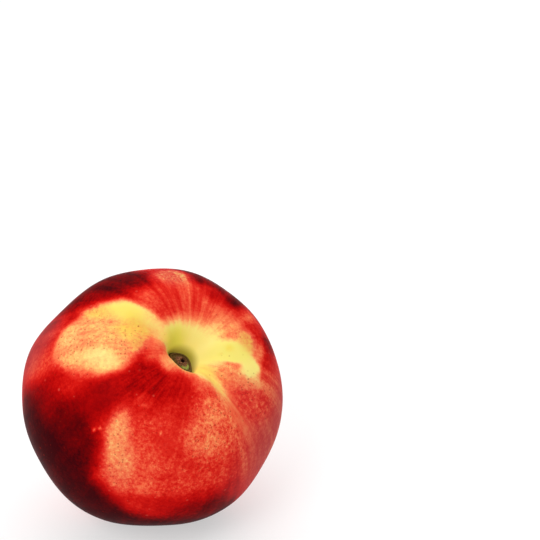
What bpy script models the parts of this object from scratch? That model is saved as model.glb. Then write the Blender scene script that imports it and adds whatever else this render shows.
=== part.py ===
"""A nectarine at its real size, one solid, lying tilted on the small flat spot that it rests on.

Lengths are in metres and +Z is up. The origin is the centre of the flat spot. The fruit's own frame
has its origin in the middle of the widest ring and its +Z along the stem axis; longitude 0 is the
suture, the furrow that runs from the stem hollow to the tip, and longitudes grow anticlockwise as
seen from the stem end.
"""

import math
from dataclasses import dataclass

import bmesh
import bpy
from mathutils import Matrix, Vector

MM = 0.001

# Driving dimensions of the fruit, in its own frame
BELLY_RADIUS = 34.9 * MM
RIM_HEIGHT = 28.8 * MM
RIM_RADIUS = 14.0 * MM
TIP_DEPTH = 34.0 * MM
TIP_POINT = 1.6 * MM
SCAR_HEIGHT = 22.6 * MM
SCAR_HALF_LENGTH = 4.15 * MM
SCAR_FAR_REACH = 1.45 * MM
SCAR_NEAR_REACH = 3.2 * MM
SCAR_OFFSET = 1.6 * MM
SCAR_TIP_SHARPNESS = 8
WALL_SLOPE = math.radians(38)

# How full each stretch of a meridian is: the share of its span that a handle reaches
WALL_START_REACH = 0.42
WALL_END_REACH = 0.62
SHOULDER_FULLNESS = 0.56
BASE_FULLNESS = 0.57
TIP_FULLNESS = 0.50

# How the fruit lies, and how much of it the resting spot takes off
STEM_AXIS = Vector((0.321, -0.596, 0.736))
SUTURE_SIDE = Vector((0.708, -0.365, -0.604))
SPOT_DEPTH = 0.45 * MM

# Fineness of the faceted solid
LONGITUDES = 72
WALL_RINGS = 10
SHOULDER_RINGS = 12
BASE_RINGS = 14

SKIN_COLOUR = (0.52, 0.02, 0.015, 1.0)
SKIN_ROUGHNESS = 0.38


@dataclass(frozen=True)
class Fold:
    """A furrow, ridge or cheek: a smooth change of the meridians round one longitude."""

    longitude: float
    half_width: float
    power: int = 2
    rim_rise: float = 0.0
    rim_shift: float = 0.0
    belly_rise: float = 0.0
    wall_steepening: float = 0.0


@dataclass(frozen=True)
class Wave:
    """How far the belly and the rim swing in and out round the fruit."""

    turns: int
    longitude: float
    belly_rise: float = 0.0
    rim_rise: float = 0.0


@dataclass(frozen=True)
class Swelling:
    """A broad bulge of the skin, or a flat where its height is negative."""

    longitude: float
    from_stem: float
    half_width: float
    height: float


# Angles in degrees, lengths in millimetres
FOLDS = (
    Fold(0, 14, rim_rise=-3.0, rim_shift=2.0, belly_rise=-0.5),
    Fold(196, 11, rim_rise=-2.4, belly_rise=-0.15),
    Fold(200, 22, rim_shift=-4.2, wall_steepening=16),
    Fold(56, 14, rim_rise=0.6),
    Fold(290, 70, power=4, rim_rise=0.5, rim_shift=-5.6, wall_steepening=36),
)
WAVES = (
    Wave(1, -61, belly_rise=0.98),
    Wave(1, 147, rim_rise=0.64),
    Wave(2, 84, belly_rise=0.40),
    Wave(3, -17, belly_rise=0.47),
)
SWELLINGS = (
    Swelling(251, 108, 14, -0.35),
    Swelling(280, 112, 18, 0.75),
    Swelling(316, 108, 14, -0.90),
    Swelling(60, 60, 18, -1.10),
    Swelling(98, 56, 18, -1.30),
    Swelling(142, 58, 16, -0.35),
    Swelling(168, 68, 15, 0.65),
    Swelling(204, 91, 16, 1.05),
    Swelling(350, 88, 14, 0.45),
    Swelling(60, 140, 40, 0.40),
    Swelling(250, 140, 40, 0.30),
    Swelling(340, 165, 40, 1.95),
)

# The corky stem scar: share of its radius, and height above its edge
SCAR_RINGS = (
    (0.84, 0.32 * MM),
    (0.62, -0.08 * MM),
    (0.34, -0.15 * MM),
    (0.18, -0.50 * MM),
)
SCAR_PIT_DEPTH = 0.6 * MM


def nearness(longitude, fold):
    """1 at the fold's middle, falling smoothly to 0 past its half width."""
    away = (math.degrees(longitude) - fold.longitude + 180) % 360 - 180
    return math.exp(-(abs(away / fold.half_width) ** fold.power))


def sum_of_folds(longitude, field):
    return sum(getattr(fold, field) * nearness(longitude, fold) for fold in FOLDS)


def sum_of_waves(longitude, field):
    return sum(
        getattr(wave, field) * math.cos(wave.turns * (longitude - math.radians(wave.longitude)))
        for wave in WAVES
    )


def scar_radius(longitude):
    """The scar is an almond: two bowed sides that meet at either end of the suture's line."""
    across = math.sin(longitude)
    along = math.cos(longitude) / SCAR_HALF_LENGTH
    sides = ((across, SCAR_FAR_REACH, SCAR_OFFSET), (-across, SCAR_NEAR_REACH, -SCAR_OFFSET))
    total = 0.0
    for side, reach, offset in sides:
        bow = 4 * reach * (reach + offset) * along**2
        total += ((side + math.sqrt(side**2 + bow)) / (2 * reach)) ** SCAR_TIP_SHARPNESS
    return total ** (-1 / SCAR_TIP_SHARPNESS)


def bezier(points, steps):
    """Points along a cubic curve, without its first."""
    found = []
    for step in range(1, steps + 1):
        t = step / steps
        shares = ((1 - t) ** 3, 3 * t * (1 - t) ** 2, 3 * t * t * (1 - t), t**3)
        found.append(sum((share * point for share, point in zip(shares, points)), Vector((0, 0))))
    return found


def meridian(longitude):
    """Points (radius, height) along the skin, from the scar's inner ring to the ring before the tip."""
    edge = Vector((scar_radius(longitude), SCAR_HEIGHT))
    rim = Vector(
        (
            RIM_RADIUS + MM * sum_of_folds(longitude, "rim_shift"),
            RIM_HEIGHT
            + MM * (sum_of_folds(longitude, "rim_rise") + sum_of_waves(longitude, "rim_rise")),
        )
    )
    belly_rise = sum_of_folds(longitude, "belly_rise") + sum_of_waves(longitude, "belly_rise")
    belly = Vector((BELLY_RADIUS + MM * belly_rise, 0))
    tip = Vector((0, -TIP_DEPTH))
    slope = WALL_SLOPE + math.radians(sum_of_folds(longitude, "wall_steepening"))

    start_reach = WALL_START_REACH * (rim - edge).length
    wall = (
        edge,
        edge + start_reach * Vector((math.cos(slope), math.sin(slope))),
        rim - Vector((WALL_END_REACH * (rim.x - edge.x), 0)),
        rim,
    )
    shoulder = (
        rim,
        rim + Vector((SHOULDER_FULLNESS * (belly.x - rim.x), 0)),
        belly + Vector((0, SHOULDER_FULLNESS * rim.y)),
        belly,
    )
    base = (
        belly,
        belly - Vector((0, BASE_FULLNESS * TIP_DEPTH)),
        tip + Vector((TIP_FULLNESS * belly.x, TIP_POINT)),
        tip,
    )
    scar = [Vector((share * edge.x, edge.y + lift)) for share, lift in reversed(SCAR_RINGS)]
    return [
        *scar,
        edge,
        *bezier(wall, WALL_RINGS),
        *bezier(shoulder, SHOULDER_RINGS),
        *bezier(base, BASE_RINGS)[:-1],
    ]


def swell(point):
    """Moves a point of the skin out from the fruit's middle by the swellings near it."""
    outwards = point.normalized()
    height = 0.0
    for swelling in SWELLINGS:
        turn = math.radians(swelling.longitude)
        drop = math.radians(swelling.from_stem)
        middle = Vector(
            (math.sin(drop) * math.cos(turn), math.sin(drop) * math.sin(turn), math.cos(drop))
        )
        away = math.degrees(outwards.angle(middle))
        height += swelling.height * math.exp(-((away / swelling.half_width) ** 2))
    return point + height * MM * outwards


def skin_mesh():
    """The closed skin in the fruit's own frame, as rings of points joined by quads."""
    mesh = bmesh.new()
    rings = []
    for step in range(LONGITUDES):
        longitude = 2 * math.pi * step / LONGITUDES
        across = Vector((math.cos(longitude), math.sin(longitude), 0))
        points = [radius * across + Vector((0, 0, height)) for radius, height in meridian(longitude)]
        rings.append([mesh.verts.new(swell(point)) for point in points])
    pit = mesh.verts.new((0, 0, SCAR_HEIGHT - SCAR_PIT_DEPTH))
    tip = mesh.verts.new((0, 0, -TIP_DEPTH))
    for here, after in zip(rings, rings[1:] + rings[:1]):
        mesh.faces.new((pit, here[0], after[0]))
        for ring in range(len(here) - 1):
            mesh.faces.new((here[ring], here[ring + 1], after[ring + 1], after[ring]))
        mesh.faces.new((here[-1], tip, after[-1]))
    return mesh


def lying_pose():
    """The turn that takes the fruit's own frame to the way it lies."""
    up = STEM_AXIS.normalized()
    side = (SUTURE_SIDE - SUTURE_SIDE.dot(up) * up).normalized()
    return Matrix((side, up.cross(side), up)).transposed()


def press_resting_spot(mesh):
    """Cuts the underside flat, then moves the flat's centre to the origin."""
    level = min(vert.co.z for vert in mesh.verts) + SPOT_DEPTH
    geometry = mesh.verts[:] + mesh.edges[:] + mesh.faces[:]
    cut = bmesh.ops.bisect_plane(
        mesh, geom=geometry, plane_co=(0, 0, level), plane_no=(0, 0, -1), clear_outer=True
    )
    edges = [item for item in cut["geom_cut"] if isinstance(item, bmesh.types.BMEdge)]
    spot = bmesh.ops.contextual_create(mesh, geom=edges)["faces"][0]
    centre = spot.calc_center_median_weighted()
    bmesh.ops.translate(mesh, verts=mesh.verts, vec=-centre)


def skin_material():
    material = bpy.data.materials.new("nectarine_skin")
    material.use_nodes = True
    shader = material.node_tree.nodes["Principled BSDF"]
    shader.inputs["Base Color"].default_value = SKIN_COLOUR
    shader.inputs["Roughness"].default_value = SKIN_ROUGHNESS
    shader.inputs["Metallic"].default_value = 0.0
    return material


def main():
    for leftover in list(bpy.data.objects):
        bpy.data.objects.remove(leftover)
    mesh = skin_mesh()
    bmesh.ops.rotate(mesh, verts=mesh.verts, matrix=lying_pose())
    press_resting_spot(mesh)
    bmesh.ops.recalc_face_normals(mesh, faces=mesh.faces)
    data = bpy.data.meshes.new("nectarine")
    mesh.to_mesh(data)
    mesh.free()
    data.shade_smooth()
    data.materials.append(skin_material())
    bpy.context.scene.collection.objects.link(bpy.data.objects.new("nectarine", data))


main()
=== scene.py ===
"""A ripe nectarine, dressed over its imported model, on a plain pale floor in soft studio light.

The fruit's own frame has its origin in the middle of the widest ring and its +Z along the stem
axis. Longitude 0 is the suture, the furrow from the stem hollow to the tip, and longitudes grow
anticlockwise as seen from the stem end. A place on the skin is a longitude and an angle from the
stem, both in degrees. The fruit's lengths are in millimetres and the studio's in metres.
"""

import logging
import math
from dataclasses import dataclass, field, fields
from enum import Enum

import bpy
import numpy as np
from mathutils import Matrix, Vector


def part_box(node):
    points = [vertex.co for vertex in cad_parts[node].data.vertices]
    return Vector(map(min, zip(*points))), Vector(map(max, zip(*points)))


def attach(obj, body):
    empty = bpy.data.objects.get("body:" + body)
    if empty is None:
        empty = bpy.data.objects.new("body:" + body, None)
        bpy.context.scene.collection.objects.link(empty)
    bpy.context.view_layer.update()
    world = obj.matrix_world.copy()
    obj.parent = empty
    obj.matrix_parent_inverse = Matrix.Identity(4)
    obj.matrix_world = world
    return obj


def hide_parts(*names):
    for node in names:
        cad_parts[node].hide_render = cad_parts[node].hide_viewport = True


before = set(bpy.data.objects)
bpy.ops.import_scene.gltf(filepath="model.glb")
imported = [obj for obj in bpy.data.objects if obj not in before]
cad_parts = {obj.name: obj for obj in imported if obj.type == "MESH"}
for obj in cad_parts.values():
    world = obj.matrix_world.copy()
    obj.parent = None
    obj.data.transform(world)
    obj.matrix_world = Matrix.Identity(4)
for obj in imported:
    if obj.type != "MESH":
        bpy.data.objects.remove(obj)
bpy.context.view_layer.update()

MM = 0.001
NODE = "nectarine"
BODY = "root"
TINY = 1e-6
WHITE = (1.0, 1.0, 1.0, 1.0)

Colour = tuple[float, float, float, float]

log = logging.getLogger("nectarine")


def srgb(red: float, green: float, blue: float) -> Colour:
    """Turn a display colour into the linear colour that a shader takes.

    Args:
        red: The red share, 0 to 255.
        green: The green share, 0 to 255.
        blue: The blue share, 0 to 255.

    Returns:
        The linear red, green and blue, and an alpha of 1.
    """
    shares = (value / 255 for value in (red, green, blue))
    linear = (
        share / 12.92 if share <= 0.04045 else ((share + 0.055) / 1.055) ** 2.4 for share in shares
    )
    return (*linear, 1.0)


# ---------------------------------------------------------------------------------------------
# Node arithmetic
# ---------------------------------------------------------------------------------------------


class Term:
    """A number in a node tree. Python's arithmetic on terms adds Math nodes to the tree."""

    def __init__(self, tree: bpy.types.NodeTree, socket: bpy.types.NodeSocket) -> None:
        """Hold a socket of the tree as a number."""
        self.tree = tree
        self.socket = socket

    def _math(self, operation: str, *values: "Term | float", clamp: bool = False) -> "Term":
        """Add one Math node.

        Args:
            operation: The Math node's operation.
            values: What goes into its inputs, in order: terms or plain numbers.
            clamp: Whether the result is held between 0 and 1.

        Returns:
            The node's result.
        """
        node = self.tree.nodes.new("ShaderNodeMath")
        node.operation = operation
        node.use_clamp = clamp
        for socket, value in zip(node.inputs, values):
            if isinstance(value, Term):
                self.tree.links.new(value.socket, socket)
            else:
                socket.default_value = value
        return Term(self.tree, node.outputs[0])

    def __add__(self, other: "Term | float") -> "Term":
        """Add another number."""
        return self._math("ADD", self, other)

    def __radd__(self, other: float) -> "Term":
        """Add this number to a plain one."""
        return self._math("ADD", other, self)

    def __sub__(self, other: "Term | float") -> "Term":
        """Take another number away."""
        return self._math("SUBTRACT", self, other)

    def __rsub__(self, other: float) -> "Term":
        """Take this number away from a plain one."""
        return self._math("SUBTRACT", other, self)

    def __mul__(self, other: "Term | float") -> "Term":
        """Multiply by another number."""
        return self._math("MULTIPLY", self, other)

    def __rmul__(self, other: float) -> "Term":
        """Multiply a plain number by this one."""
        return self._math("MULTIPLY", other, self)

    def __truediv__(self, other: "Term | float") -> "Term":
        """Divide by another number."""
        return self._math("DIVIDE", self, other)

    def __neg__(self) -> "Term":
        """Change the sign."""
        return self._math("MULTIPLY", self, -1.0)

    def power(self, exponent: float) -> "Term":
        """Raise to a power."""
        return self._math("POWER", self, exponent)

    def sine(self) -> "Term":
        """Give the sine, of radians."""
        return self._math("SINE", self)

    def cosine(self) -> "Term":
        """Give the cosine, of radians."""
        return self._math("COSINE", self)

    def arc_cosine(self) -> "Term":
        """Give the angle, in radians, whose cosine this is."""
        return self._math("ARCCOSINE", self)

    def size(self) -> "Term":
        """Give the number without its sign."""
        return self._math("ABSOLUTE", self)

    def root(self) -> "Term":
        """Give the square root."""
        return self._math("SQRT", self)

    def share(self) -> "Term":
        """Hold the number between 0 and 1."""
        return self._math("ADD", self, 0.0, clamp=True)

    def at_least(self, least: "Term | float") -> "Term":
        """Hold the number at or above another."""
        return self._math("MAXIMUM", self, least)

    def wrapped(self, low: float, high: float) -> "Term":
        """Bring the number into a span by whole turns of it."""
        return self._math("WRAP", self, high, low)

    def bell(self, power: float = 2.0) -> "Term":
        """Give 1 at zero, falling smoothly to 0 past 1 on either side."""
        return self._math("POWER", math.exp(-1), self.size().power(power))

    def rise(self, low: float, high: float) -> "Term":
        """Step smoothly from 0 at one level to 1 at another.

        Args:
            low: The level where the step is at 0.
            high: The level where it is at 1, which may lie below the first.

        Returns:
            The step.
        """
        node = self.tree.nodes.new("ShaderNodeMapRange")
        node.interpolation_type = "SMOOTHSTEP"
        self.tree.links.new(self.socket, node.inputs["Value"])
        node.inputs["From Min"].default_value = low
        node.inputs["From Max"].default_value = high
        return Term(self.tree, node.outputs["Result"])


def bezier(points: tuple["Term | float", ...], t: Term) -> Term:
    """Give the number that a cubic curve passes through.

    Args:
        points: The start, the two handles and the end.
        t: How far along the curve, 0 to 1.

    Returns:
        The number there.
    """
    back = 1 - t
    start, first, second, end = points
    return (
        start * back.power(3)
        + 3 * first * t * back.power(2)
        + 3 * second * t.power(2) * back
        + end * t.power(3)
    )


# ---------------------------------------------------------------------------------------------
# The form of the fruit
# ---------------------------------------------------------------------------------------------


def way_out(longitude: float, from_stem: float) -> tuple[float, float, float]:
    """Give the way, of unit length, from the fruit's middle to a place on its skin."""
    turn, drop = math.radians(longitude), math.radians(from_stem)
    return (math.sin(drop) * math.cos(turn), math.sin(drop) * math.sin(turn), math.cos(drop))


@dataclass(frozen=True)
class Fold:
    """A furrow, ridge or cheek: a smooth change of the meridians round one longitude."""

    longitude: float
    half_width: float
    power: int = 2
    rim_rise: float = 0.0
    rim_shift: float = 0.0
    belly_rise: float = 0.0
    wall_steepening: float = 0.0


@dataclass(frozen=True)
class Wave:
    """How far the belly and the rim swing in and out round the fruit."""

    turns: int
    longitude: float
    belly_rise: float = 0.0
    rim_rise: float = 0.0


@dataclass(frozen=True)
class Swelling:
    """A bulge of the skin, or a flat where its height is negative."""

    longitude: float
    from_stem: float
    half_width: float
    height: float


@dataclass(frozen=True)
class Strands:
    """A set of the scar's fibres, which run out from its pit and twist, in radians, on the way."""

    count: int
    twist: float
    height: float


@dataclass(frozen=True)
class Scar:
    """The corky scar that the stalk leaves, with a pit, a fibrous floor and a raised ring.

    Its outline is two bowed sides that meet at either end of the suture's line. The places of the
    floor and the ring are shares of the way from the middle to the outline.
    """

    height: float = 22.6
    half_length: float = 4.15
    far_reach: float = 1.45
    near_reach: float = 3.2
    offset: float = 1.6
    tip_sharpness: int = 8
    pit_depth: float = 0.60
    pit_floor_radius: float = 0.25
    pit_mouth_radius: float = 0.85
    floor_depth: float = 0.10
    floor_start: tuple[float, float] = (0.30, 0.42)
    floor_end: tuple[float, float] = (0.70, 0.80)
    ring_height: float = 0.32
    ring_place: float = 0.84
    ring_half_width: float = 0.12
    fibre_height: float = 0.09
    strands: tuple[Strands, ...] = (Strands(19, 5.0, 1.0), Strands(31, -7.0, 0.6))


@dataclass(frozen=True)
class Form:
    """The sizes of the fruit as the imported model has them, and the blisters that it leaves out."""

    belly_radius: float = 34.9
    rim_height: float = 28.8
    rim_radius: float = 14.0
    tip_depth: float = 34.0
    tip_point: float = 1.6
    scar: Scar = Scar()
    wall_slope: float = 38.0
    wall_start_reach: float = 0.42
    wall_end_reach: float = 0.62
    shoulder_fullness: float = 0.56
    base_fullness: float = 0.57
    tip_fullness: float = 0.50
    stem_axis: tuple[float, float, float] = (0.321, -0.596, 0.736)
    suture_side: tuple[float, float, float] = (0.708, -0.365, -0.604)
    folds: tuple[Fold, ...] = (
        Fold(0, 14, rim_rise=-3.0, rim_shift=2.0, belly_rise=-0.5),
        Fold(196, 11, rim_rise=-2.4, belly_rise=-0.15),
        Fold(200, 22, rim_shift=-4.2, wall_steepening=16),
        Fold(56, 14, rim_rise=0.6),
        Fold(290, 70, power=4, rim_rise=0.5, rim_shift=-5.6, wall_steepening=36),
    )
    waves: tuple[Wave, ...] = (
        Wave(1, -61, belly_rise=0.98),
        Wave(1, 147, rim_rise=0.64),
        Wave(2, 84, belly_rise=0.40),
        Wave(3, -17, belly_rise=0.47),
    )
    swellings: tuple[Swelling, ...] = (
        Swelling(251, 108, 14, -0.35),
        Swelling(280, 112, 18, 0.75),
        Swelling(316, 108, 14, -0.90),
        Swelling(60, 60, 18, -1.10),
        Swelling(98, 56, 18, -1.30),
        Swelling(142, 58, 16, -0.35),
        Swelling(168, 68, 15, 0.65),
        Swelling(204, 91, 16, 1.05),
        Swelling(350, 88, 14, 0.45),
        Swelling(60, 140, 40, 0.40),
        Swelling(250, 140, 40, 0.30),
        Swelling(340, 165, 40, 1.95),
    )
    blisters: tuple[Swelling, ...] = (
        Swelling(262, 57, 1.4, 0.16),
        Swelling(264, 55, 1.1, 0.12),
        Swelling(291, 43, 1.5, 0.14),
        Swelling(273, 37, 1.2, 0.10),
        Swelling(303, 67, 1.4, 0.08),
    )

    def lying_pose(self) -> Matrix:
        """Work out how the fruit lies.

        Returns:
            The turn that takes the fruit's own frame to the way it lies.
        """
        up = Vector(self.stem_axis).normalized()
        side = Vector(self.suture_side)
        side = (side - side.dot(up) * up).normalized()
        return Matrix((side, up.cross(side), up)).transposed()


class Stretch(Enum):
    """The stretches of a meridian, from the scar to the tip, and how many rings each has."""

    SCAR = 40
    WALL = 60
    SHOULDER = 90
    BASE = 110


@dataclass
class FormTree:
    """The geometry node tree that turns a flat grid into the lying fruit's skin."""

    form: Form
    longitudes: int = 300
    weld: float = 0.0005
    waviness: float = 0.07
    wave_size: float = 9.0
    pebbling: float = 0.012
    pebble_size: float = 1.6
    seed: float = 7.0
    tree: bpy.types.GeometryNodeTree = field(init=False)
    sizes: dict[str, bpy.types.NodeSocket] = field(init=False)

    def __post_init__(self) -> None:
        """Start the tree with its inputs."""
        self.tree = bpy.data.node_groups.new("nectarine_form", "GeometryNodeTree")
        self.sizes = self.inputs()

    def node(self, kind: str, **settings: object) -> bpy.types.Node:
        """Add a node and set its options.

        Args:
            kind: The node's type name.
            settings: Its options by name.

        Returns:
            The node.
        """
        node = self.tree.nodes.new(kind)
        for name, value in settings.items():
            setattr(node, name, value)
        return node

    def feed(self, node: bpy.types.Node, **values: object) -> bpy.types.Node:
        """Link or set a node's inputs, with underscores for the spaces in their names.

        Args:
            node: The node.
            values: A socket, a term or a plain value for each input named.

        Returns:
            The node.
        """
        for name, value in values.items():
            socket = node.inputs[name.replace("_", " ")]
            if isinstance(value, Term):
                value = value.socket
            if isinstance(value, bpy.types.NodeSocket):
                self.tree.links.new(value, socket)
            else:
                socket.default_value = value
        return node

    def step(self, kind: str, **values: object) -> bpy.types.NodeSocket:
        """Add a node, feed its inputs and give its first output."""
        return self.feed(self.node(kind), **values).outputs[0]

    def term(self, socket: bpy.types.NodeSocket) -> Term:
        """Hold a socket of this tree as a number."""
        return Term(self.tree, socket)

    def size(self, name: str) -> Term:
        """Give one of the tree's inputs as a number."""
        return self.term(self.sizes[name])

    def split(self, vector: bpy.types.NodeSocket) -> list[Term]:
        """Take a vector apart into its three numbers."""
        parts = self.feed(self.node("ShaderNodeSeparateXYZ"), Vector=vector)
        return [self.term(part) for part in parts.outputs]

    def join(self, x: Term, y: Term, z: Term) -> bpy.types.NodeSocket:
        """Put three numbers together as a vector."""
        return self.step("ShaderNodeCombineXYZ", X=x, Y=y, Z=z)

    def position(self) -> bpy.types.NodeSocket:
        """Give where each point is."""
        return self.node("GeometryNodeInputPosition").outputs[0]

    def inputs(self) -> dict[str, bpy.types.NodeSocket]:
        """Name the tree's inputs, with their sizes as defaults, and its output.

        Returns:
            The input sockets by name.
        """
        scar = self.form.scar
        numbers = {
            "Belly Radius": self.form.belly_radius,
            "Rim Radius": self.form.rim_radius,
            "Rim Height": self.form.rim_height,
            "Tip Depth": self.form.tip_depth,
            "Scar Height": scar.height,
            "Scar Half Length": scar.half_length,
            "Scar Far Reach": scar.far_reach,
            "Scar Near Reach": scar.near_reach,
            "Fibre Height": scar.fibre_height,
            "Waviness": self.waviness,
            "Pebbling": self.pebbling,
            "Seed": self.seed,
        }
        others = {
            "Box Low": ("INPUT", "NodeSocketVector"),
            "Box High": ("INPUT", "NodeSocketVector"),
            "Skin": ("INPUT", "NodeSocketMaterial"),
            "Fruit": ("OUTPUT", "NodeSocketGeometry"),
        }
        face = self.tree.interface
        for name, value in numbers.items():
            socket = face.new_socket(name=name, in_out="INPUT", socket_type="NodeSocketFloat")
            socket.default_value = value
        for name, (side, kind) in others.items():
            face.new_socket(name=name, in_out=side, socket_type=kind)
        entry = self.node("NodeGroupInput")
        return {socket.name: socket for socket in entry.outputs if socket.name}

    def build(self) -> bpy.types.GeometryNodeTree:
        """Write the whole tree.

        Returns:
            The finished tree.
        """
        rings = sum(stretch.value for stretch in Stretch)
        grid = self.node("GeometryNodeMeshGrid")
        self.feed(grid, Size_X=1.0, Size_Y=1.0)
        self.feed(grid, Vertices_X=self.longitudes + 1, Vertices_Y=rings + 1)
        round_share, down_share, _ = self.split(self.position())
        longitude = (round_share + 0.5) * (2 * math.pi)
        radius, height, scar_share, pit = self.meridian(longitude, (down_share + 0.5) * rings)
        x, y = radius * longitude.cosine(), radius * longitude.sine()
        reach = (x * x + y * y + height * height).root()
        out = (x / reach, y / reach, height / reach)
        swell = self.swell(out)
        point = [(start + way * swell) * MM for start, way in zip((x, y, height), out)]
        from_stem = out[2].arc_cosine() * (1 / math.pi)
        growth = self.join(longitude.cosine(), longitude.sine(), from_stem)

        known = self.store(grid.outputs["Mesh"], "growth", "FLOAT_VECTOR", growth)
        known = self.store(known, "scar_share", "FLOAT", scar_share.socket)
        known = self.store(known, "pit", "FLOAT", pit.socket)
        skin = self.step("GeometryNodeSetPosition", Geometry=known, Position=self.join(*point))
        skin = self.step("GeometryNodeMergeByDistance", Geometry=skin, Distance=self.weld * MM)
        self.finish(self.relief(self.lay(skin)))
        return self.tree

    def folds_sum(self, longitude: Term, name: str) -> Term:
        """Add up what the folds do to one size of the meridians.

        Args:
            longitude: The longitude, in radians.
            name: The fold's field.

        Returns:
            The sum there.
        """
        degrees = longitude * (180 / math.pi)
        total: Term = degrees * 0.0
        for fold in self.form.folds:
            amount = getattr(fold, name)
            if amount:
                away = (degrees - fold.longitude).wrapped(-180, 180) / fold.half_width
                total = total + amount * away.bell(fold.power)
        return total

    def waves_sum(self, longitude: Term, name: str) -> Term:
        """Add up what the waves do to one size of the meridians.

        Args:
            longitude: The longitude, in radians.
            name: The wave's field.

        Returns:
            The sum there.
        """
        total: Term = longitude * 0.0
        for wave in self.form.waves:
            amount = getattr(wave, name)
            if amount:
                phase = (longitude - math.radians(wave.longitude)) * float(wave.turns)
                total = total + amount * phase.cosine()
        return total

    def meridian(self, longitude: Term, ring: Term) -> tuple[Term, Term, Term, Term]:
        """Draw the meridians, from the middle of the scar's pit to the tip.

        Args:
            longitude: The longitude, in radians.
            ring: The ring's number, from the pit.

        Returns:
            The radius, the height, how far out in the scar (past 1 on the wall of the hollow), and
            1 in the pit.
        """
        form = self.form
        along = []
        first = 0
        for stretch in Stretch:
            along.append(((ring - float(first)) / float(stretch.value)).share())
            first += stretch.value
        scar, wall, shoulder, base = along

        edge = self.scar_edge(longitude)
        bottom = self.size("Scar Height")
        rim = self.size("Rim Radius") + self.folds_sum(longitude, "rim_shift")
        top = self.size("Rim Height") + self.folds_sum(longitude, "rim_rise")
        top = top + self.waves_sum(longitude, "rim_rise")
        belly = self.size("Belly Radius") + self.folds_sum(longitude, "belly_rise")
        belly = belly + self.waves_sum(longitude, "belly_rise")
        tip = self.size("Tip Depth")
        slope = (form.wall_slope + self.folds_sum(longitude, "wall_steepening")) * math.radians(1)
        width = rim - edge
        climb = top - bottom
        start = form.wall_start_reach * (width * width + climb * climb).root()

        pit = 1 - (scar * edge).rise(form.scar.pit_floor_radius, form.scar.pit_mouth_radius)
        wall_out = (edge, edge + start * slope.cosine(), rim - form.wall_end_reach * width, rim)
        wall_up = (bottom, bottom + start * slope.sine(), top, top)
        full = form.shoulder_fullness
        shoulder_out = (rim, rim + full * (belly - rim), belly, belly)
        shoulder_up = (top, top, full * top, 0 * top)
        base_out = (belly, belly, form.tip_fullness * belly, 0 * belly)
        base_up = (0 * tip, -form.base_fullness * tip, form.tip_point - tip, 0 - tip)
        radius = (
            scar * edge
            + (bezier(wall_out, wall) - edge)
            + (bezier(shoulder_out, shoulder) - rim)
            + (bezier(base_out, base) - belly)
        )
        height = (
            self.scar_height(longitude, scar, pit)
            + (bezier(wall_up, wall) - bottom)
            + (bezier(shoulder_up, shoulder) - top)
            + bezier(base_up, base)
        )
        return radius, height, scar + wall, pit

    def scar_edge(self, longitude: Term) -> Term:
        """Draw the scar's outline: two bowed sides that meet at either end of the suture's line.

        Args:
            longitude: The longitude, in radians.

        Returns:
            How far the outline is from the stem axis.
        """
        scar = self.form.scar
        across = longitude.sine()
        along = longitude.cosine() / self.size("Scar Half Length")
        sides = []
        for name, side, shift in (("Far", across, scar.offset), ("Near", -across, -scar.offset)):
            reach = self.size(f"Scar {name} Reach")
            bow = reach * (reach + shift) * along * along * 4.0
            nearness = (side + (side * side + bow).root()) / (reach * 2.0)
            sides.append(nearness.power(scar.tip_sharpness))
        far, near = sides
        return (far + near).power(-1 / scar.tip_sharpness)

    def scar_height(self, longitude: Term, share: Term, pit: Term) -> Term:
        """Shape the corky scar: a pit, a fibrous floor and a raised ring inside its edge.

        Args:
            longitude: The longitude, in radians.
            share: How far out from the pit's middle to the edge.
            pit: 1 in the pit and 0 outside it.

        Returns:
            The height there.
        """
        scar = self.form.scar
        ring = ((share - scar.ring_place) / scar.ring_half_width).bell()
        floor = share.rise(*scar.floor_start) * (1 - share.rise(*scar.floor_end))
        fibres: Term = longitude * 0.0
        for strands in scar.strands:
            turn = longitude * float(strands.count) + share * strands.twist
            fibres = fibres + turn.sine() * strands.height
        hollows = scar.pit_depth * pit + scar.floor_depth * floor
        rises = scar.ring_height * ring + self.size("Fibre Height") * floor * fibres
        return self.size("Scar Height") - hollows + rises

    def swell(self, out: tuple[Term, Term, Term]) -> Term:
        """Add up the swellings and blisters.

        Args:
            out: The way out from the fruit's middle, as three numbers.

        Returns:
            How far the skin stands out there.
        """
        total: Term = out[0] * 0.0
        for swelling in self.form.swellings + self.form.blisters:
            x, y, z = way_out(swelling.longitude, swelling.from_stem)
            nearness = out[0] * x + out[1] * y + out[2] * z
            away = nearness.arc_cosine() / math.radians(swelling.half_width)
            total = total + swelling.height * away.bell()
        return total

    def store(
        self,
        mesh: bpy.types.NodeSocket,
        name: str,
        data_type: str,
        value: bpy.types.NodeSocket,
    ) -> bpy.types.NodeSocket:
        """Keep a value at every point of the mesh under a name.

        Args:
            mesh: The mesh.
            name: The attribute's name.
            data_type: The attribute's kind.
            value: What it holds.

        Returns:
            The mesh with the attribute.
        """
        node = self.node("GeometryNodeStoreNamedAttribute", data_type=data_type, domain="POINT")
        self.feed(node, Geometry=mesh, Name=name, Value=value)
        return node.outputs[0]

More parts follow.
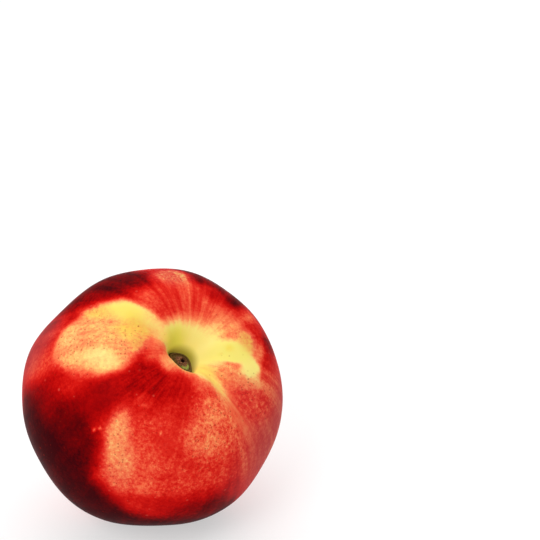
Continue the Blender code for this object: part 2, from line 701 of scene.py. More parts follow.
    def lay(self, mesh: bpy.types.NodeSocket) -> bpy.types.NodeSocket:
        """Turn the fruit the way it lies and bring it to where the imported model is.

        Args:
            mesh: The skin in the fruit's own frame.

        Returns:
            The skin in its place.
        """
        angles = self.form.lying_pose().to_euler()
        turned = self.step("GeometryNodeTransform", Geometry=mesh, Rotation=angles)
        box = self.feed(self.node("GeometryNodeBoundBox"), Geometry=turned)
        low, high = self.split(box.outputs["Min"]), self.split(box.outputs["Max"])
        want_low, want_high = self.split(self.sizes["Box Low"]), self.split(self.sizes["Box High"])
        x, y = (
            (want_low[axis] + want_high[axis] - (low[axis] + high[axis])) * 0.5 for axis in (0, 1)
        )
        move = self.join(x, y, want_high[2] - high[2])
        return self.step("GeometryNodeSetPosition", Geometry=turned, Offset=move)

    def relief(self, mesh: bpy.types.NodeSocket) -> bpy.types.NodeSocket:
        """Give the skin its slight waves and pebbling, then press the resting spot flat.

        Args:
            mesh: The skin in its place.

        Returns:
            The skin with its relief.
        """
        layers = []
        for size, amount in ((self.wave_size, "Waviness"), (self.pebble_size, "Pebbling")):
            noise = self.node("ShaderNodeTexNoise", noise_dimensions="4D")
            self.feed(noise, Vector=self.position(), W=self.sizes["Seed"])
            self.feed(noise, Scale=1 / (size * MM), Detail=1.0)
            layers.append((self.term(noise.outputs[0]) - 0.5) * self.size(amount) * (2 * MM))
        waves, pebbles = layers
        push = self.node("ShaderNodeVectorMath", operation="SCALE")
        normal = self.node("GeometryNodeInputNormal").outputs[0]
        self.feed(push, Vector=normal, Scale=waves + pebbles)
        raised = self.step("GeometryNodeSetPosition", Geometry=mesh, Offset=push.outputs[0])
        x, y, z = self.split(self.position())
        pressed = self.join(x, y, z.at_least(0.0))
        return self.step("GeometryNodeSetPosition", Geometry=raised, Position=pressed)

    def finish(self, mesh: bpy.types.NodeSocket) -> None:
        """End the tree: faces turned outwards, smooth shading, real geometry and the material.

        Args:
            mesh: The skin in its final shape, with its faces looking inwards as the grid's do.
        """
        skin = self.step("GeometryNodeFlipFaces", Mesh=mesh)
        skin = self.step("GeometryNodeSetShadeSmooth", Geometry=skin)
        skin = self.step("GeometryNodeRealizeInstances", Geometry=skin)
        skin = self.step("GeometryNodeSetMaterial", Geometry=skin, Material=self.sizes["Skin"])
        self.tree.links.new(skin, self.node("NodeGroupOutput").inputs[0])


# ---------------------------------------------------------------------------------------------
# The colours that the skin grew
# ---------------------------------------------------------------------------------------------


@dataclass(frozen=True)
class Tones:
    """How much of each tone the skin has at a place. A patch leaves alone the tones that are None.

    The blush runs from 0, bare ground colour, through orange and red to 1, nearly black maroon.
    The sheen tone is painted sheen: a dull grey veil that stands in for the grazing reflection of
    the bright surroundings.
    """

    blush: float | None = None
    gold: float | None = None
    green: float | None = None
    specks: float | None = None
    mottle: float | None = None
    streaks: float | None = None
    lenticels: float | None = None
    # painted sheen: how much grey veil stands in for grazing reflections at this place
    painted_sheen: float | None = None


@dataclass(frozen=True)
class Patch:
    """An oval of skin with tones of its own.

    It lies at a longitude and an angle from the stem. Its half length runs towards the tip and its
    half width round the fruit, before it is turned, and its edge fades over a distance to either
    side. All are in degrees.
    """

    longitude: float
    from_stem: float
    half_length: float
    half_width: float
    fade: float
    tones: Tones
    turn: float = 0.0

    def cover(self, ways: np.ndarray) -> np.ndarray:
        """Work out how much of the patch lies at each place.

        Args:
            ways: The ways out from the fruit's middle, one a row.

        Returns:
            1 inside the patch, falling smoothly to 0 outside it.
        """
        middle = way_out(self.longitude, self.from_stem)
        down = way_out(self.longitude, self.from_stem + 90)
        sideways = way_out(self.longitude + 90, 90)
        angle = np.degrees(np.arccos(np.clip(ways @ middle, -1, 1)))
        along, across = ways @ down, ways @ sideways
        length = np.maximum(np.hypot(along, across), TINY)
        along, across = along / length * angle, across / length * angle
        lean = math.radians(self.turn)
        lengthwise = along * math.cos(lean) + across * math.sin(lean)
        crosswise = across * math.cos(lean) - along * math.sin(lean)
        distance = np.hypot(lengthwise / self.half_length, crosswise / self.half_width)
        narrow = min(self.half_length, self.half_width)
        inside = np.clip(0.5 + (1 - distance) * narrow / (2 * self.fade), 0, 1)
        return inside * inside * (3 - 2 * inside)


@dataclass(frozen=True)
class Complexion:
    """The tones of the whole skin: what it has everywhere, and the patches laid over it in turn.

    The patches' outlines wander in slow waves, each by the wander, in degrees, over its pace.
    """

    everywhere: Tones = Tones(
        blush=0.62,
        gold=0.1,
        green=0.0,
        specks=0.1,
        mottle=0.5,
        streaks=0.25,
        lenticels=0.3,
        painted_sheen=0.0,
    )
    wander: float = 6.4
    wander_paces: tuple[float, ...] = (7.0, 13.0, 24.0)
    seed: int = 11
    patches: tuple[Patch, ...] = (
        # the far side and the tip, out of the sun
        Patch(118, 105, 34, 40, 18, Tones(blush=0.32, gold=0.3, mottle=0.6, streaks=0.4)),
        Patch(126, 98, 15, 20, 12, Tones(blush=0.14, gold=0.4)),
        Patch(48, 108, 24, 20, 14, Tones(blush=0.50)),
        Patch(180, 176, 14, 14, 9, Tones(blush=0.32, gold=0.4, streaks=0.8)),
        # the right flank
        Patch(12, 60, 28, 30, 10, Tones(blush=0.48, streaks=0.6, lenticels=0.7)),
        # painted sheen on the right flank, where the skin turns away
        Patch(14, 70, 24, 30, 14, Tones(painted_sheen=0.38)),
        Patch(26, 48, 9, 9, 6, Tones(blush=0.43, streaks=0.7)),
        Patch(18, 73, 6, 12, 5, Tones(blush=0.37, streaks=0.5)),
        Patch(48, 42, 6, 6, 4, Tones(blush=0.64, streaks=0.6)),
        # the front, from the lip down to the floor
        Patch(308, 52, 22, 30, 8, Tones(blush=0.50, mottle=0.9, specks=0.3)),
        Patch(298, 45, 6, 7, 5, Tones(blush=0.57, mottle=0.4)),
        Patch(329, 38, 13, 13, 5, Tones(blush=0.36, specks=1.1, mottle=1.2)),
        Patch(287, 60, 12, 8, 6, Tones(blush=0.44)),
        Patch(308, 76, 7, 15, 5, Tones(blush=0.62, mottle=0.4)),
        # darker towards the floor: the underside's deep blush, deepened further as painted shade
        # under the fruit
        Patch(330, 86, 17, 17, 9, Tones(blush=0.92, mottle=0.2, streaks=0.3)),
        Patch(302, 111, 25, 54, 6, Tones(blush=1.0, mottle=0.1, streaks=0.1)),
        # the pale band and the sun-darkened side that cuts it off
        Patch(282, 64, 11, 5.5, 3, Tones(blush=0.33, specks=0.5, mottle=1.0, painted_sheen=0.06), turn=30),
        Patch(
            273, 54, 12, 4.5, 2.5,
            Tones(blush=0.26, mottle=0.9, specks=0.5, painted_sheen=0.06), turn=24,
        ),
        Patch(293, 69, 3, 9, 3, Tones(blush=0.40)),
        Patch(234, 68, 9, 7, 4, Tones(blush=0.66, mottle=0.4)),
        Patch(238, 86, 18, 12, 5, Tones(blush=0.84, mottle=0.1, streaks=0.1)),
        Patch(250, 50, 14, 7, 5, Tones(blush=0.80, mottle=0.1, streaks=0.1)),
        Patch(256, 68, 12, 14, 5, Tones(blush=0.91, mottle=0.1, streaks=0.1)),
        Patch(267, 74, 9, 6, 4, Tones(blush=0.94, mottle=0.2)),
        Patch(262, 93, 19, 34, 5, Tones(blush=0.99, mottle=0.0, streaks=0.05)),
        # the red lip over the hollow
        Patch(266, 26, 12, 13, 4, Tones(blush=0.76, mottle=0.4, streaks=0.5)),
        Patch(292, 20, 7, 8.5, 4, Tones(blush=0.69, mottle=0.4)),
        Patch(298, 33, 6, 8, 5, Tones(blush=0.60, mottle=0.5)),
        Patch(329, 19, 5, 5.5, 4, Tones(blush=0.38, mottle=0.6)),
        Patch(340, 15, 4, 4, 3, Tones(blush=0.20)),
        Patch(340, 72, 6, 5, 5, Tones(blush=0.66, streaks=0.5)),
        Patch(272, 36, 4, 5, 3, Tones(blush=0.56, mottle=0.5)),
        Patch(256, 15, 3, 4, 3, Tones(blush=0.33, gold=0.2)),
        # the upper side, away from the suture
        Patch(120, 30, 12, 24, 7, Tones(blush=0.47, mottle=0.3, streaks=0.6)),
        Patch(84, 22, 7, 6, 5, Tones(blush=0.26, streaks=0.5)),
        Patch(112, 20, 4, 5, 3, Tones(blush=0.50)),
        Patch(168, 30, 9, 6, 4, Tones(blush=0.46)),
        Patch(153, 29, 5, 4, 3, Tones(blush=0.55)),
        Patch(159, 47, 11, 7.5, 4, Tones(blush=0.82)),
        Patch(168, 60, 20, 13, 5, Tones(blush=0.92, mottle=0.2)),
        # a dark band along the upper outline: deep blush, partly a painted dark reflection
        Patch(80, 58, 9, 14, 4, Tones(blush=0.88, mottle=0.2)),
        Patch(98, 47, 14, 9, 3, Tones(blush=0.89, mottle=0.2, streaks=0.4)),
        Patch(120, 49, 14, 12, 3, Tones(blush=0.89, mottle=0.2, streaks=0.4)),
        Patch(110, 33, 4, 5, 3, Tones(blush=0.72, streaks=0.5)),
        Patch(
            140, 42, 8, 7, 4,
            Tones(blush=0.36, gold=0.5, mottle=1.2, specks=0.5, streaks=0.9, painted_sheen=0.2),
        ),
        Patch(80, 41, 7, 3.5, 3, Tones(blush=0.43, streaks=0.6)),
        Patch(56, 44, 6, 6, 4, Tones(blush=0.84, streaks=0.5)),
        # the lit cheek beyond the second furrow
        Patch(202, 74, 10, 11, 5, Tones(blush=0.58, streaks=0.5)),
        Patch(219, 73, 12, 5, 4, Tones(blush=0.40, streaks=0.6)),
        Patch(197, 78, 5, 4, 4, Tones(blush=0.76)),
        Patch(188, 60, 9, 6, 5, Tones(blush=0.80)),
        Patch(184, 74, 14, 7, 4, Tones(blush=0.90)),
        # painted sheen low on the cheek
        Patch(206, 84, 14, 14, 8, Tones(painted_sheen=0.28)),
        Patch(
            212.5, 43, 21, 19, 3,
            Tones(blush=0.26, gold=0.4, mottle=0.6, specks=0.6, streaks=0.15),
        ),
        Patch(214, 55, 6, 7, 4, Tones(blush=0.23, specks=1.2, gold=0.1)),
        Patch(230, 43, 10, 4.5, 2.5, Tones(blush=0.13, mottle=0.3, specks=0.3, gold=0.0), turn=-25),
        Patch(188, 33, 12, 4, 3, Tones(blush=0.02, gold=0.6, mottle=0.3, specks=0.0)),
        Patch(192, 50, 9, 3, 3, Tones(blush=0.24, gold=0.9)),
        Patch(204, 29, 9, 7, 4, Tones(blush=0.24, gold=1.0, green=0.2, painted_sheen=0.06)),
        Patch(218, 25, 4, 5, 3, Tones(blush=0.30, gold=1.0, green=0.3, painted_sheen=0.10)),
        Patch(206, 18, 3.5, 5, 3, Tones(blush=0.28, mottle=0.3)),
        Patch(228, 19, 3.5, 5, 3, Tones(blush=0.38, mottle=0.3)),
        # the shoulder on the right of the hollow
        Patch(12, 38, 11, 8, 5, Tones(blush=0.47, mottle=1.0, specks=0.8, painted_sheen=0.1)),
        Patch(14, 24, 9, 4.5, 2.5, Tones(blush=0.31, specks=0.9, mottle=0.8)),
        Patch(21, 32, 6, 3.5, 3, Tones(blush=0.24, specks=0.7, mottle=0.5)),
        Patch(47, 34, 2.5, 5, 2.5, Tones(blush=0.34, gold=0.4)),
        Patch(66, 24, 7, 8, 4, Tones(blush=0.33, gold=0.4)),
        Patch(
            43, 20.5, 10, 6, 2.5,
            Tones(blush=0.02, gold=0.3, green=0.22, mottle=0.3, specks=0.1),
        ),
        Patch(31, 30.5, 5, 4, 2.5, Tones(blush=0.0, gold=0.3, mottle=0.2, specks=0.1)),
        Patch(57, 28, 3.5, 5.5, 2.5, Tones(blush=0.31, gold=1.0, green=0.15, painted_sheen=0.12)),
        Patch(49, 20, 1.6, 1.6, 1.5, Tones(blush=0.18, gold=1.0)),
        Patch(40, 17, 0.8, 0.8, 0.8, Tones(blush=0.35, green=0.4)),
        # the stem hollow and the suture that runs out of it
        Patch(168, 13, 4.5, 7, 5, Tones(blush=0.08, gold=0.2, streaks=0.2)),
        Patch(190, 21, 6, 2.5, 3, Tones(blush=0.15, gold=0.3, mottle=0.3)),
        Patch(80, 3, 15, 15, 7, Tones(blush=0.0, gold=0.3, mottle=0.1, specks=0.0, streaks=0.3)),
        Patch(54, 13, 4, 5, 3, Tones(blush=0.0, gold=0.1, streaks=0.1)),
        Patch(354, 35, 14, 3.5, 3, Tones(blush=0.40, mottle=0.1, streaks=0.5)),
        Patch(353, 42, 14, 2.2, 2.5, Tones(blush=0.37)),
        Patch(344, 54, 16, 0.9, 1.6, Tones(blush=0.40)),
        Patch(353, 22, 9, 4.5, 4, Tones(blush=0.15, gold=0.6, mottle=0.2, streaks=0.3)),
        Patch(355, 15, 5, 4, 3, Tones(blush=0.14, gold=0.7, mottle=0.2, streaks=0.3)),
        Patch(100, 1, 6, 6, 4, Tones(green=0.9, mottle=0.1)),
        Patch(172, 10, 5, 7, 4, Tones(green=0.6, gold=0.5)),
        # small pale blisters
        Patch(262, 57, 0.9, 0.9, 0.6, Tones(blush=0.38)),
        Patch(264, 55, 0.8, 0.8, 0.6, Tones(blush=0.36)),
        Patch(291, 43, 0.9, 0.9, 0.7, Tones(blush=0.30)),
        Patch(273, 37, 0.8, 0.8, 0.7, Tones(blush=0.42)),
    )

    def paint(self, skin: bpy.types.Mesh) -> None:
        """Keep the tones as attributes at the points of the skin.

        Args:
            skin: The fruit's mesh, with the growth attribute.
        """
        growth = np.empty(len(skin.vertices) * 3)
        skin.attributes["growth"].data.foreach_get("vector", growth)
        growth = growth.reshape(-1, 3)
        drop = growth[:, 2] * math.pi
        spread = np.sin(drop) / np.maximum(np.hypot(growth[:, 0], growth[:, 1]), TINY)
        ways = np.stack((growth[:, 0] * spread, growth[:, 1] * spread, np.cos(drop)), 1)
        ways = self.wandered(ways)
        covers = [patch.cover(ways) for patch in self.patches]
        for tone in fields(Tones):
            amount = np.full(len(ways), getattr(self.everywhere, tone.name))
            for patch, cover in zip(self.patches, covers):
                wanted = getattr(patch.tones, tone.name)
                if wanted is not None:
                    amount += (wanted - amount) * cover
            layer = skin.attributes.new(tone.name, "FLOAT", "POINT")
            layer.data.foreach_set("value", amount)

    def wandered(self, ways: np.ndarray) -> np.ndarray:
        """Shift places a little in slow waves, so that the patches' outlines wander.

        Args:
            ways: The ways out from the fruit's middle, one a row.

        Returns:
            The shifted ways, of unit length.
        """
        draw = np.random.default_rng(self.seed)
        moved = ways.copy()
        for pace in self.wander_paces:
            turns = draw.normal(size=(3, 3)) * pace
            starts = draw.uniform(0, 2 * math.pi, 3)
            moved += np.sin(ways @ turns + starts) * math.radians(self.wander) / pace
        return moved / np.linalg.norm(moved, axis=1, keepdims=True)


# ---------------------------------------------------------------------------------------------
# The finish of the skin
# ---------------------------------------------------------------------------------------------


@dataclass(frozen=True)
class Dots:
    """Small round dots over the skin, one at most in each cell of their spacing.

    The least and the most radius are shares of the spacing.
    """

    spacing: float
    least: float
    most: float
    strength: float
    colour: Colour


@dataclass(frozen=True)
class Shift:
    """How far a pattern shifts the blush: always, and more with a tone of the skin."""

    always: float
    with_tone: float
    tone: str


@dataclass(frozen=True)
class Ring:
    """A ring of colour in the scar, strongest at one place and fading to either side."""

    colour: Colour
    place: float
    half_width: float
    strength: float


@dataclass(frozen=True)
class Verge:
    """A colour of the scar that begins at one place, is full at another and goes on outwards."""

    colour: Colour
    begin: float
    full: float
    strength: float


@dataclass(frozen=True)
class CorkFinish:
    """The stem scar's cork, its painted highlight and the painted shade round it. Places are shares
    of the way from its middle to its outline.
    """

    fibre_dark: Colour = srgb(58, 34, 20)
    fibre_light: Colour = srgb(176, 122, 90)
    fibre_mean: float = 0.45
    fibre_with_streak: float = 4.0
    fibre_with_fine: float = 2.0
    olive: Verge = Verge(srgb(104, 86, 42), 0.42, 0.62, 0.8)
    # painted highlight: a light green crescent on one side of the scar's floor
    painted_highlight: Ring = Ring(srgb(158, 172, 84), 0.56, 0.10, 1.0)
    painted_highlight_side: tuple[float, float] = (0.85, -0.53)
    painted_highlight_edge: tuple[float, float] = (0.7, 0.97)
    line: Ring = Ring(srgb(60, 42, 18), 0.74, 0.06, 0.6)
    pit: Colour = srgb(22, 6, 4)
    edge: Verge = Verge(srgb(56, 38, 12), 0.86, 0.94, 1.0)
    # painted shade: an olive-brown ring on the skin just outside the scar, darkening the hollow
    # where shade falls
    hollow_shade: Colour = srgb(96, 72, 18)
    hollow_shade_strength: float = 0.65
    hollow_shade_edge: tuple[float, float] = (1.0, 1.2)
    outline: tuple[float, float] = (0.985, 1.0)
    rough_edge: tuple[float, float] = (0.97, 1.0)
    roughness: float = 0.35


@dataclass(frozen=True)
class SkinFinish:
    """Waxy nectarine skin: ground colour, blush in streaks and mottles, specks, painted sheen and
    soft gloss.

    The streaks have two numbers: how fine they are round the fruit, and from the stem to the tip.
    """

    name: str = "nectarine_skin"
    ground: Colour = srgb(243, 228, 140)
    golden: Colour = srgb(242, 212, 76)
    green: Colour = srgb(226, 216, 84)
    green_gain: float = 1.6
    deep_green: Colour = srgb(186, 184, 66)
    deep_green_begin: float = 2 / 3
    blush: tuple[Colour, ...] = (
        srgb(246, 222, 142),
        srgb(246, 198, 118),
        srgb(246, 166, 100),
        srgb(242, 128, 80),
        srgb(233, 86, 58),
        srgb(219, 46, 33),
        srgb(202, 22, 16),
        srgb(180, 9, 8),
        srgb(148, 4, 6),
        srgb(104, 3, 6),
        srgb(58, 3, 8),
    )
    veil_begin: float = 0.02
    veil_width: float = 0.22
    veil_with_gold: float = 0.25
    # painted sheen: the grey veil that stands in for grazing reflections
    painted_sheen: Colour = srgb(98, 86, 88)
    specks: Dots = Dots(0.85, 0.14, 0.34, 0.55, srgb(160, 30, 14))
    speck_gathering: float = 2.0
    lenticels: Dots = Dots(1.7, 0.10, 0.26, 0.22, srgb(224, 104, 84))
    red_begin: tuple[float, float] = (0.4, 0.55)
    red_end: tuple[float, float] = (0.9, 0.7)
    dot_edge: tuple[float, float] = (0.6, 1.2)
    rank_step: tuple[float, float] = (-0.05, 0.15)
    fine_size: float = 0.35
    mottle_size: float = 0.9
    blotch_size: float = 5.0
    streaks: tuple[float, float] = (11.0, 3.0)
    thin_streaks: tuple[float, float] = (44.0, 6.0)
    mottle_shift: Shift = Shift(0.08, 0.42, "mottle")
    fine_shift: Shift = Shift(0.04, 0.24, "mottle")
    blotch_shift: Shift = Shift(0.08, 0.24, "mottle")
    streak_shift: Shift = Shift(0.04, 0.70, "streaks")
    thin_streak_shift: Shift = Shift(0.02, 0.14, "streaks")
    shift_least: float = 0.5
    shift_with_blush: float = 0.7
    roughness: float = 0.40
    blotch_roughness: float = 0.08
    fine_roughness: float = 0.05
    refraction: float = 1.45
    gloss: float = 0.006
    glow: float = 0.10
    glow_reach: float = 1.5
    glow_spread: tuple[float, float, float] = (1.0, 0.35, 0.15)
    bump: float = 0.35
    bump_height: float = 0.05
    fine_bump: float = 0.6
    mottle_bump: float = 0.8
    cork: CorkFinish = CorkFinish()

    def make(self) -> bpy.types.Material:
        """Write the material.

        Returns:
            The material.
        """
        material = bpy.data.materials.new(self.name)
        material.use_nodes = True
        tree = material.node_tree
        paint = SkinPaint(tree, self)
        shader = tree.nodes["Principled BSDF"]
        plain = {
            "Metallic": 0.0,
            "IOR": self.refraction,
            "Specular IOR Level": self.gloss,
            "Subsurface Weight": self.glow,
            "Subsurface Radius": self.glow_spread,
            "Subsurface Scale": self.glow_reach * MM,
        }
        for name, value in plain.items():
            shader.inputs[name].default_value = value
        tree.links.new(paint.colour(), shader.inputs["Base Color"])
        tree.links.new(paint.roughness().socket, shader.inputs["Roughness"])
        tree.links.new(paint.normal(), shader.inputs["Normal"])
        return material


class SkinPaint:
    """The nodes of the skin's material."""

    def __init__(self, tree: bpy.types.NodeTree, finish: SkinFinish) -> None:
        """Read the tones and set up the patterns that break them up.

        Args:
            tree: The material's node tree.
            finish: The skin's finish.
        """
        self.tree = tree
        self.finish = finish
        self.place = tree.nodes.new("ShaderNodeTexCoord").outputs["Object"]
        self.growth = self.attribute("growth").outputs["Vector"]
        self.tones = {tone.name: self.number(tone.name) for tone in fields(Tones)}
        self.scar = self.number("scar_share")
        self.mottle = self.noise(finish.mottle_size, detail=2.0)
        self.fine = self.noise(finish.fine_size, detail=1.0)
        self.blotch = self.noise(finish.blotch_size, detail=3.0)
        self.streak = self.along_growth(*finish.streaks)
        self.thin_streak = self.along_growth(*finish.thin_streaks)

    def attribute(self, name: str) -> bpy.types.Node:
        """Add a node that reads an attribute of the skin.

        Args:
            name: The attribute's name.

        Returns:
            The node.
        """
        node = self.tree.nodes.new("ShaderNodeAttribute")
        node.attribute_name = name
        return node

    def number(self, name: str) -> Term:
        """Read an attribute of the skin as a number."""
        return Term(self.tree, self.attribute(name).outputs["Fac"])

    def noise(self, size: float, detail: float) -> Term:
        """Add even noise.

        Args:
            size: How far apart its blobs are.
            detail: How many finer layers it has.

        Returns:
            The noise, from about -0.5 to 0.5.
        """
        node = self.tree.nodes.new("ShaderNodeTexNoise")
        self.tree.links.new(self.place, node.inputs["Vector"])
        node.inputs["Scale"].default_value = 1 / (size * MM)
        node.inputs["Detail"].default_value = detail
        return Term(self.tree, node.outputs[0]) - 0.5

    def along_growth(self, round_scale: float, down_scale: float) -> Term:
        """Add noise drawn out along the meridians, from the stem to the tip.

        Args:
            round_scale: How fine it is round the fruit.
            down_scale: How fine it is from the stem to the tip.

        Returns:
            The noise, from about -0.5 to 0.5.
        """
        stretch = self.tree.nodes.new("ShaderNodeVectorMath")
        stretch.operation = "MULTIPLY"
        self.tree.links.new(self.growth, stretch.inputs[0])
        stretch.inputs[1].default_value = (round_scale, round_scale, down_scale)
        node = self.tree.nodes.new("ShaderNodeTexNoise")
        self.tree.links.new(stretch.outputs[0], node.inputs["Vector"])
        node.inputs["Scale"].default_value = 1.0
        node.inputs["Detail"].default_value = 2.0
        return Term(self.tree, node.outputs[0]) - 0.5

    def mix(
        self,
        share: Term,
        below: bpy.types.NodeSocket | Colour,
        above: bpy.types.NodeSocket | Colour,
    ) -> bpy.types.NodeSocket:
        """Mix two colours.

        Args:
            share: How much of the second there is.
            below: The first colour.
            above: The second colour.

        Returns:
            The mixed colour.
        """
        node = self.tree.nodes.new("ShaderNodeMix")
        node.data_type = "RGBA"
        self.tree.links.new(share.share().socket, node.inputs[0])
        first, second = (socket for socket in node.inputs if socket.type == "RGBA")
        for socket, colour in ((first, below), (second, above)):
            if isinstance(colour, bpy.types.NodeSocket):
                self.tree.links.new(colour, socket)
            else:
                socket.default_value = colour
        return next(socket for socket in node.outputs if socket.type == "RGBA")

    def depth(self) -> Term:
        """Work out how deep the blush is, with its streaks, mottles and blotches.

        Returns:
            The depth, along the blush's colours.
        """
        finish = self.finish
        blush = self.tones["blush"]
        patterns = (
            (self.mottle, finish.mottle_shift),
            (self.fine, finish.fine_shift),
            (self.blotch, finish.blotch_shift),
            (self.streak, finish.streak_shift),
            (self.thin_streak, finish.thin_streak_shift),
        )
        total: Term = blush * 0.0
        for pattern, shift in patterns:
            total = total + pattern * (shift.always + shift.with_tone * self.tones[shift.tone])
        return blush + total * (finish.shift_least + finish.shift_with_blush * blush)

    def colour(self) -> bpy.types.NodeSocket:
        """Lay the skin's colours over each other, from the ground colour to the cork.

        Returns:
            The colour.
        """
        finish = self.finish
        gold, green = self.tones["gold"], self.tones["green"]
        begin = finish.deep_green_begin
        ground = self.mix(gold, finish.ground, finish.golden)
        ground = self.mix(green * finish.green_gain, ground, finish.green)
        ground = self.mix((green - begin) / (1 - begin), ground, finish.deep_green)
        ramp = self.tree.nodes.new("ShaderNodeValToRGB")
        stops = ramp.color_ramp.elements
        while len(stops) < len(finish.blush):
            stops.new(0.5)
        for number, (stop, colour) in enumerate(zip(stops, finish.blush)):
            stop.position = number / (len(finish.blush) - 1)
            stop.color = colour
        depth = self.depth()
        self.tree.links.new(depth.socket, ramp.inputs[0])
        veil = (depth - finish.veil_begin) / (gold * finish.veil_with_gold + finish.veil_width)
        skin = self.mix(veil.rise(0.0, 1.0), ground, ramp.outputs[0])
        skin = self.mix(self.lenticels(), skin, finish.lenticels.colour)
        skin = self.mix(self.specks(), skin, finish.specks.colour)
        # lay the painted sheen over the skin
        skin = self.mix(self.tones["painted_sheen"], skin, finish.painted_sheen)
        return self.cork(skin)

    def scatter(self, dots: Dots) -> tuple[Term, Term]:
        """Scatter small round dots over the skin.

        Args:
            dots: The dots.

        Returns:
            How strong a dot is, 0 outside it, and a number from 0 to 1 of each dot's own.
        """
        cells = self.tree.nodes.new("ShaderNodeTexVoronoi")
        self.tree.links.new(self.place, cells.inputs["Vector"])
        cells.inputs["Scale"].default_value = 1 / (dots.spacing * MM)
        luck = self.tree.nodes.new("ShaderNodeSeparateColor")
        self.tree.links.new(cells.outputs["Color"], luck.inputs[0])
        size = Term(self.tree, luck.outputs[0]) * (dots.most - dots.least) + dots.least
        near = Term(self.tree, cells.outputs["Distance"]) / size
        dot = (1 - near.rise(*self.finish.dot_edge)) * dots.strength
        return dot, Term(self.tree, luck.outputs[1])

    def specks(self) -> Term:
        """Scatter the small dark specks of the paler skin.

        Returns:
            How strong they are at each place.
        """
        finish = self.finish
        dot, rank = self.scatter(finish.specks)
        gathered = self.tones["specks"] * (self.blotch * finish.speck_gathering + 1)
        return dot * (gathered - rank).rise(*finish.rank_step)

    def lenticels(self) -> Term:
        """Scatter the small pale dots of the redder skin.

        Returns:
            How strong they are at each place.
        """
        finish = self.finish
        dot, rank = self.scatter(finish.lenticels)
        blush = self.tones["blush"]
        red = blush.rise(*finish.red_begin) * blush.rise(*finish.red_end)
        return dot * (self.tones["lenticels"] - rank).rise(*finish.rank_step) * red

    def ring(self, ring: Ring) -> Term:
        """Work out how much of a ring's colour there is."""
        return ((self.scar - ring.place) / ring.half_width).bell() * ring.strength

    def verge(self, verge: Verge) -> Term:
        """Work out how much of a verge's colour there is."""
        return self.scar.rise(verge.begin, verge.full) * verge.strength

    def cork(self, skin: bpy.types.NodeSocket) -> bpy.types.NodeSocket:
        """Lay the stem scar's colours over the skin's, with its painted highlight and the painted
        shade round it.

        Args:
            skin: The skin's colour.

        Returns:
            The colour with the scar.
        """
        finish = self.finish.cork
        place = self.tree.nodes.new("ShaderNodeSeparateXYZ")
        self.tree.links.new(self.growth, place.inputs[0])
        x, y = (Term(self.tree, place.outputs[axis]) for axis in "XY")
        # painted highlight: keep the light green crescent to one side of the scar
        side_x, side_y = finish.painted_highlight_side
        painted_highlight = (x * side_x + y * side_y).rise(*finish.painted_highlight_edge)
        fibre = self.thin_streak * finish.fibre_with_streak + self.fine * finish.fibre_with_fine
        fibre = fibre + finish.fibre_mean
        cork = self.mix(fibre, finish.fibre_dark, finish.fibre_light)
        cork = self.mix(self.verge(finish.olive), cork, finish.olive.colour)
        cork = self.mix(self.ring(finish.painted_highlight) * painted_highlight, cork, finish.painted_highlight.colour)
        cork = self.mix(self.ring(finish.line), cork, finish.line.colour)
        cork = self.mix(self.number("pit"), cork, finish.pit)
        cork = self.mix(self.verge(finish.edge), cork, finish.edge.colour)
        # painted shade: darken the skin in the hollow just outside the scar's outline
        hollow_shade = (1 - self.scar.rise(*finish.hollow_shade_edge)) * finish.hollow_shade_strength
        skin = self.mix(hollow_shade, skin, finish.hollow_shade)
        return self.mix(1 - self.scar.rise(*finish.outline), skin, cork)

    def roughness(self) -> Term:
        """Make the skin uneven in its roughness, and the cork rougher.

        Returns:
            The roughness.
        """
        finish = self.finish
        uneven = self.blotch * finish.blotch_roughness + self.fine * finish.fine_roughness
        cork = (1 - self.scar.rise(*finish.cork.rough_edge)) * finish.cork.roughness
        return finish.roughness + uneven + cork

    def normal(self) -> bpy.types.NodeSocket:
        """Give the skin its finest relief.

        Returns:
            The normal.
        """
        finish = self.finish
        bump = self.tree.nodes.new("ShaderNodeBump")
        bump.inputs["Strength"].default_value = finish.bump
        bump.inputs["Distance"].default_value = finish.bump_height * MM
        height = self.fine * finish.fine_bump + self.mottle * finish.mottle_bump
        self.tree.links.new(height.socket, bump.inputs["Height"])
        return bump.outputs[0]


# ---------------------------------------------------------------------------------------------
# The fruit
# ---------------------------------------------------------------------------------------------


@dataclass
class Nectarine:
    """The whole fruit, grown as one piece."""

    form: Form = Form()
    complexion: Complexion = Complexion()
    finish: SkinFinish = SkinFinish()

    def grow(self) -> bpy.types.Object:
        """Make the fruit's mesh from its node tree.

        Returns:
            The fruit, as a plain mesh in its place.
        """
        material = self.finish.make()
        tree = FormTree(self.form).build()
        seedling = bpy.data.objects.new("seedling", bpy.data.meshes.new("seedling"))
        bpy.context.scene.collection.objects.link(seedling)
        modifier = seedling.modifiers.new("form", "NODES")
        modifier.node_group = tree
        low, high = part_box(NODE)
        values = {"Box Low": low, "Box High": high, "Skin": material}
        for item in tree.interface.items_tree:
            if item.name in values:
                value = values[item.name]
                is_vector = item.socket_type == "NodeSocketVector"
                modifier[item.identifier] = tuple(value) if is_vector else value
        evaluated = seedling.evaluated_get(bpy.context.evaluated_depsgraph_get())
        skin = bpy.data.meshes.new_from_object(evaluated)
        bpy.data.objects.remove(seedling)
        skin.name = "fruit"
        fruit = bpy.data.objects.new("fruit", skin)
        bpy.context.scene.collection.objects.link(fruit)
        return fruit

    def build(self) -> None:
        """Make the fruit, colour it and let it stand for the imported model."""
        fruit = self.grow()
        self.complexion.paint(fruit.data)
        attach(fruit, BODY)
        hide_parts(NODE)
        log.info("fruit: %d faces, %d points", len(fruit.data.polygons), len(fruit.data.vertices))


# ---------------------------------------------------------------------------------------------
# The studio
# ---------------------------------------------------------------------------------------------


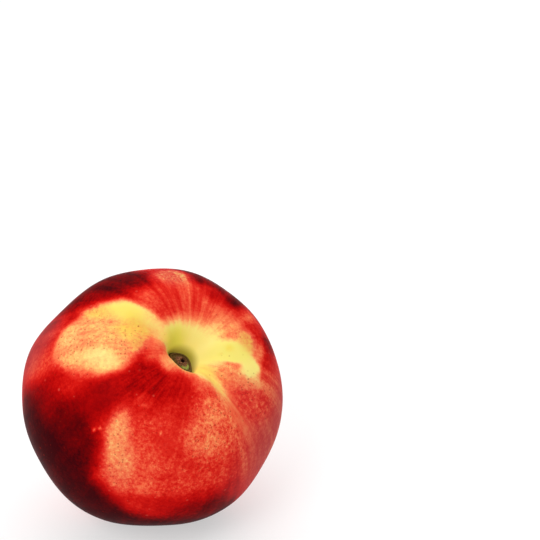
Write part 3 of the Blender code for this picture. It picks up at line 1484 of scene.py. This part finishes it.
@dataclass(frozen=True)
class Softbox:
    """A square area light that looks at the fruit."""

    name: str
    place: tuple[float, float, float]
    size: float
    power: float

    def hang(self, target: Vector) -> None:
        """Put the light in the scene.

        Args:
            target: What it looks at.
        """
        lamp = bpy.data.lights.new(self.name, "AREA")
        lamp.size = self.size
        lamp.energy = self.power
        holder = bpy.data.objects.new(self.name, lamp)
        holder.location = self.place
        holder.rotation_euler = (target - holder.location).to_track_quat("-Z", "Y").to_euler()
        bpy.context.scene.collection.objects.link(holder)


@dataclass(frozen=True)
class Studio:
    """A pale floor under a white sky, two softboxes and the camera."""

    floor_size: float = 6.0
    floor_colour: Colour = srgb(188, 188, 188)
    floor_glow: float = 0.50
    floor_roughness: float = 0.7
    floor_gloss: float = 0.2
    sky: float = 0.45
    softboxes: tuple[Softbox, ...] = (
        Softbox("overhead", (0.1, 0.5, 1.5), 3.0, 31.0),
        Softbox("key", (-0.26, -0.44, 0.46), 0.30, 1.7),
    )
    camera_place: tuple[float, float, float] = (-0.00088, -0.27826, 0.18307)
    camera_tilt: float = 22.0
    camera_turn: float = -6.637
    lens: float = 76.2
    sensor_width: float = 36.0

    def build(self) -> None:
        """Set up the floor, the light and the camera."""
        self.lay_floor()
        self.light()
        self.set_camera()
        bpy.context.scene.view_settings.view_transform = "Standard"
        log.info("studio: floor, %d softboxes, camera", len(self.softboxes))

    def lay_floor(self) -> None:
        """Make the floor, level with the fruit's resting spot."""
        half = self.floor_size / 2
        corners = [(-half, -half, 0), (half, -half, 0), (half, half, 0), (-half, half, 0)]
        mesh = bpy.data.meshes.new("floor")
        mesh.from_pydata(corners, [], [(0, 1, 2, 3)])
        material = bpy.data.materials.new("floor")
        material.use_nodes = True
        shader = material.node_tree.nodes["Principled BSDF"]
        shader.inputs["Base Color"].default_value = self.floor_colour
        shader.inputs["Emission Color"].default_value = WHITE
        shader.inputs["Emission Strength"].default_value = self.floor_glow
        shader.inputs["Roughness"].default_value = self.floor_roughness
        shader.inputs["Specular IOR Level"].default_value = self.floor_gloss
        mesh.materials.append(material)
        floor = bpy.data.objects.new("floor", mesh)
        bpy.context.scene.collection.objects.link(floor)

    def light(self) -> None:
        """Make the white sky and hang the softboxes."""
        world = bpy.data.worlds.new("sky")
        world.use_nodes = True
        background = world.node_tree.nodes["Background"]
        background.inputs["Color"].default_value = WHITE
        background.inputs["Strength"].default_value = self.sky
        bpy.context.scene.world = world
        low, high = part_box(NODE)
        middle = (Vector(low) + Vector(high)) / 2
        for softbox in self.softboxes:
            softbox.hang(middle)

    def set_camera(self) -> None:
        """Make the camera, looking down at the fruit from its stem side."""
        lens = bpy.data.cameras.new("camera")
        lens.sensor_width = self.sensor_width
        lens.lens = self.lens
        camera = bpy.data.objects.new("camera", lens)
        turn = Matrix.Rotation(math.radians(self.camera_turn), 4, "Z")
        tilt = Matrix.Rotation(math.radians(90 - self.camera_tilt), 4, "X")
        camera.matrix_world = Matrix.Translation(self.camera_place) @ turn @ tilt
        bpy.context.scene.collection.objects.link(camera)
        bpy.context.scene.camera = camera


def main() -> None:
    """Build the fruit and the studio round it."""
    logging.basicConfig(level=logging.INFO, format="%(name)s: %(message)s")
    Nectarine().build()
    Studio().build()


if __name__ == "__main__":
    main()
